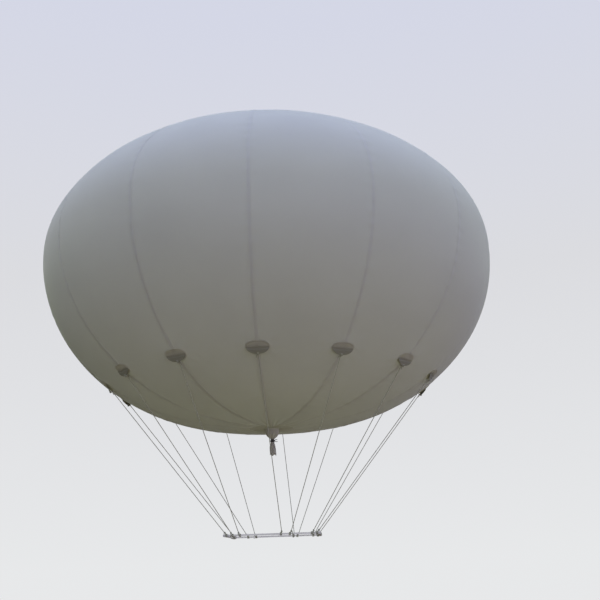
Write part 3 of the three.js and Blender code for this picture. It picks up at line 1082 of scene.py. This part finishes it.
def add_lower_end(parts, wrap, knot_place, outer_side, rng):
    """The turns round a bar, the rise to the knot that closes them and a loose end."""
    halfway = (wrap[-1] + knot_place) / 2
    rise = smooth_path([wrap[-1], wrap[-1] + RISE_START, halfway + RISE_BOW, knot_place])
    parts.add(*tube(np.concatenate([wrap, rise[1:]]), CORD_RADIUS))
    parts.add(*knot(knot_place, LOWER_KNOT_AXIS, CORD_RADIUS, KNOT_CORD_RADIUS))
    skew = rng.uniform(-LOWER_TAIL_SKEW, LOWER_TAIL_SKEW)
    away = outer_side * rng.uniform(*LOWER_TAIL_AWAY)
    lean = unit([skew, away, 0])
    length = LOWER_TAIL_LENGTH * rng.uniform(*LOWER_TAIL_STRETCH)
    fall = np.array([0, 0, -1])
    hanging = [(aside, length * drop) for aside, drop in (LOWER_TAIL_MIDDLE, LOWER_TAIL_TIP)]
    tail = smooth_path([
        knot_place + lean * aside + fall * drop for aside, drop in LOWER_TAIL_BEND + hanging
    ])
    parts.add(*tube(tail, CORD_RADIUS * np.linspace(1, FRAYED_END, len(tail))))


def build_line(index, material, rng):
    """A line from its patch to the frame. A line at a corner is tied round the corner's arm."""
    seat = patch_seat(index)
    name = f"suspension_line_{index + 1:02d}"
    top, bottom = line_ends(name)
    side = math.copysign(1, bottom[0])
    outer_side = math.copysign(1, bottom[1])
    along_bar = bottom[0]
    section = BAR
    if abs(bottom[0]) > FRAME_LENGTH / 2 - CORNER - CORNER_ARM:
        along_bar = side * (FRAME_LENGTH / 2 - CORNER - WRAP_PITCH * WRAP_TURNS / 2)
        section = CORNER
    centre = np.array([along_bar, outer_side * (FRAME_WIDTH - BAR) / 2, FRAME_HEIGHT])
    wrap = wrap_path(centre, section, -side)
    line = unit(wrap[0] - top)
    upper_knot = top + line * KNOT_DROP
    lower_knot = wrap[0] - line * KNOT_DROP
    parts = Parts()
    straight = upper_knot + np.linspace(0, 1, STRAIGHT_STEPS)[:, None] * (wrap[0] - upper_knot)
    parts.add(*tube(straight, CORD_RADIUS))
    add_upper_end(parts, seat, upper_knot, line, rng)
    add_lower_end(parts, wrap, lower_knot, outer_side, rng)
    place(parts.build(f"{name}_cord", material), "line_cord", name)


# Filling neck


def neck_top():
    return float(profile(-math.pi / 2)[1]) - OVERLAY - DISC_FILM


def smooth_column(share, station, values):
    """Values along the neck, rounded between its stations."""
    fine = np.interp(share, station, values)
    kernel = np.hanning(NECK_SMOOTHING)
    padded = np.pad(fine, NECK_SMOOTHING // 2, mode="edge")
    return np.convolve(padded, kernel / kernel.sum(), mode="valid")[:, None]


def build_neck(material):
    """A pleated sleeve: flat where it is welded to the disc, gathered at the tie, loose below it."""
    drops, radii, depths = np.array(NECK_STATIONS).T
    station = np.linspace(0, 1, len(drops))
    share = np.linspace(0, 1, NECK_ROWS)
    drop = np.interp(share, station, drops)[:, None]
    mean = smooth_column(share, station, radii)
    depth = smooth_column(share, station, depths)
    angle = np.linspace(0, 2 * math.pi, NECK_SIDES, endpoint=False)[None]
    sag = np.clip((drop - NECK_WAIST_DROP) / NECK_TAIL_LENGTH, 0, 1)
    twist = NECK_TWIST * smoothstep(drop, NECK_TWIST_START, NECK_WAIST_DROP) + NECK_TAIL_TWIST * sag
    folds = np.cos(NECK_FOLDS * (angle + twist))
    folds = folds + BROAD_FOLD_SIZE * np.cos(BROAD_FOLDS * angle + 2 * twist + BROAD_FOLD_PHASE)
    fine = FINE_FOLD_SIZE * np.cos(FINE_FOLDS * angle - twist + FINE_FOLD_PHASE)
    folds = folds + fine * (FINE_FOLD_LEAST + sag)
    outer_radius = mean * (1 + depth * folds / FOLD_SUM)
    hem = sum(
        size * sag**NECK_HEM_SHARPNESS * np.cos(count * angle + phase)
        for size, count, phase in NECK_HEM_WAVES
    )
    film = NECK_FILM * (1 + NECK_HEM_THICKENING * smoothstep(drop, *NECK_HEM))

    def ring(radius):
        x = radius * np.cos(angle) + NECK_TAIL_DRIFT * sag**2
        y = radius * np.sin(angle) * (1 - NECK_TAIL_SQUASH * sag)
        z = neck_top() - drop - hem
        return np.stack(np.broadcast_arrays(x, y, z), -1)

    points, faces = thick_sheet(ring(outer_radius)[::-1], ring(outer_radius - film)[::-1], wrap=True)
    piece = mesh_object("filling_neck_sleeve", points, faces, material)
    place(piece, "neck_film", "filling_neck")


def build_neck_tie(material):
    """A cord wound round the waist, with a knot and two ends, and a stub on its far side."""
    parts = Parts()
    radius = NECK_WAIST_RADIUS + TIE_RADIUS
    middle = neck_top() - NECK_WAIST_DROP
    angle = np.linspace(0, 2 * math.pi * TIE_TURNS, TIE_STEPS_PER_TURN * TIE_TURNS) - TIE_START
    height = middle + TIE_PITCH * (angle / (2 * math.pi) - TIE_TURNS / 2)
    wound = np.stack([radius * np.cos(angle), radius * np.sin(angle), height], -1)
    parts.add(*tube(wound, TIE_RADIUS))

    out_x, out_y = TIE_KNOT_SIDE
    stand_off = radius + TIE_KNOT_STAND_OFF
    knot_place = np.array([out_x * stand_off, out_y * stand_off, middle])
    outward = unit([out_x, out_y, 0])
    parts.add(*knot(knot_place, outward, TIE_KNOT_SIZE, TIE_KNOT_CORD_RADIUS))
    for reach, lift in TIE_ENDS:
        side_x, side_y = TIE_END_SIDE
        aside = unit([side_x, math.copysign(side_y, lift), 0])
        root = knot_place + outward * TIE_END_ROOT + (0, 0, lift * TIE_END_ROOT_LIFT)
        loose = [knot_place + aside * reach * out + (0, 0, lift * up) for out, up in TIE_END_PATH]
        parts.add(*tube(smooth_path([knot_place, root, *loose]), TIE_RADIUS))

    stub_x, stub_y = TIE_STUB_PLACE
    far_side = np.array([stub_x - radius, stub_y, middle])
    parts.add(*tube(smooth_path([far_side + step for step in np.array(TIE_STUB)]), TIE_RADIUS))
    place(parts.build("neck_tie_cord", material), "tie_cord", "neck_tie")


# Payload frame


def dress_node(name, material, rounding):
    """Keeps a node of the model, with rounded edges and a material."""
    node = NODES[name]
    node.data.materials.clear()
    node.data.materials.append(material)
    bevel = node.modifiers.new("rounded edges", "BEVEL")
    bevel.width = rounding
    bevel.segments = ROUNDING_STEPS
    bevel.limit_method = "ANGLE"
    bevel.harden_normals = True


def build_frame(materials):
    """The bars, the corners and two screws in each corner's upper and lower face."""
    sides_x = {"left": -1, "right": 1}
    sides_y = {"front": -1, "rear": 1}
    for name in sides_y:
        dress_node(f"frame_bar_{name}", materials["bar_x"], BAR_ROUNDING)
    for name in sides_x:
        dress_node(f"frame_bar_{name}", materials["bar_y"], BAR_ROUNDING)
    reach = CORNER / 2 + CORNER_ARM * SCREW_ALONG_ARM
    screws = Parts()
    for name_x, side_x in sides_x.items():
        for name_y, side_y in sides_y.items():
            dress_node(f"frame_corner_{name_y}_{name_x}", materials["corner"], CORNER_ROUNDING)
            x = side_x * (FRAME_LENGTH - BAR) / 2
            y = side_y * (FRAME_WIDTH - BAR) / 2
            for up in (-1, 1):
                height = FRAME_HEIGHT + up * CORNER / 2
                for screw_y in (y - side_y * reach, y):
                    screws.add(*turned(SCREW_SECTION, SCREW_SIDES, (x, screw_y, height), (0, 0, up)))
    place(screws.build("frame_screws", materials["screw"], sharp=SCREW_SHARP_ANGLE), "frame_tube")


# Camera, stage and light


def build_camera():
    cosine, sine = math.cos(CAMERA_ROLL), math.sin(CAMERA_ROLL)
    roll = Matrix(((cosine, 0, sine), (0, 1, 0), (-sine, 0, cosine)))
    axes = Matrix.Rotation(CAMERA_YAW, 3, "Z") @ Matrix.Rotation(CAMERA_PITCH, 3, "X") @ roll
    right, forward, up = (axes.col[i] for i in range(3))
    data = bpy.data.cameras.new("photo_camera")
    data.sensor_width = SENSOR_MM
    data.lens = FOCAL_PIXELS * SENSOR_MM / IMAGE_PIXELS
    camera = bpy.data.objects.new("photo_camera", data)
    bpy.context.scene.collection.objects.link(camera)
    turn = Matrix((right, up, -forward)).transposed().to_4x4()
    camera.matrix_world = Matrix.Translation(CAMERA_PLACE) @ turn
    bpy.context.scene.camera = camera


def ramp(tree, value, stops):
    node = add(tree, "ShaderNodeValToRGB", {"Fac": value})
    elements = node.color_ramp.elements
    for position, _ in stops[1:-1]:
        elements.new(position)
    for element, (position, colour) in zip(sorted(elements, key=lambda e: e.position), stops):
        element.position = position
        element.color = (*colour, 1)
    return node.outputs["Color"]


def build_world():
    """A soft sky: pale as a backdrop, and brightest overhead as a light."""
    world = bpy.data.worlds.new("soft_sky")
    bpy.context.scene.world = world
    world.use_nodes = True
    tree = world.node_tree
    tree.nodes.clear()
    direction = add(tree, "ShaderNodeTexCoord").outputs["Generated"]
    upright = add(tree, "ShaderNodeSeparateXYZ", {0: direction}).outputs[2]
    dot_product = add(tree, "ShaderNodeVectorMath", {0: direction, 1: OPEN_SIDE}, operation="DOT_PRODUCT")
    openness = ranged(tree, dot_product.outputs["Value"], 0, 1, -1, 1)
    height = ranged(tree, upright, 0, 1, -1, 1)
    light = blended(tree, openness, ramp(tree, height, LIGHT_AWAY), ramp(tree, height, LIGHT_OPEN))
    seen = add(tree, "ShaderNodeLightPath").outputs["Is Camera Ray"]
    colour = blended(tree, seen, light, ramp(tree, height, BACKDROP))
    sky = add(tree, "ShaderNodeBackground", {"Color": colour, "Strength": 1.0})
    add(tree, "ShaderNodeOutputWorld", {"Surface": sky.outputs[0]})


def build_floor():
    """A pale floor that runs into the horizon, and leaves the light on the balloon to the sky."""
    angle = 2 * math.pi * np.arange(FLOOR_SIDES) / FLOOR_SIDES
    height = np.full(FLOOR_SIDES, CAMERA_PLACE[2] - FLOOR_DROP)
    rim = np.stack([FLOOR_RADIUS * np.cos(angle), FLOOR_RADIUS * np.sin(angle), height], -1)
    material, tree = new_material("studio_floor")
    pale = add(tree, "ShaderNodeEmission", {"Color": (*HORIZON, 1), "Strength": 1.0})
    clear = add(tree, "ShaderNodeBsdfTransparent")
    seen = add(tree, "ShaderNodeLightPath").outputs["Is Camera Ray"]
    below = add(tree, "ShaderNodeNewGeometry").outputs["Backfacing"]
    seen_from_above = math_node(tree, "SUBTRACT", seen, below)
    shaders = {0: seen_from_above, 1: clear.outputs[0], 2: pale.outputs[0]}
    output(tree, add(tree, "ShaderNodeMixShader", shaders).outputs[0])
    floor = mesh_object("studio_floor", rim, [list(range(FLOOR_SIDES))], material)


def build_balloon():
    materials = build_materials()
    for i in range(GORES):
        build_gore(i, materials["film"])
    build_disc("crown_disc", 1, CROWN_STATIONS, materials["disc"])
    build_disc("base_disc", -1, BASE_STATIONS, materials["disc"])
    build_neck(materials["neck"])
    build_neck_tie(materials["tie"])
    rng = np.random.default_rng(RANDOM_SEED)
    for i in range(GORES):
        build_patch(i, materials)
        build_line(i, materials["cord"], rng)
    build_frame(materials)


build_camera()
build_balloon()
build_floor()
build_world()
bpy.context.scene.view_settings.view_transform = "Standard"
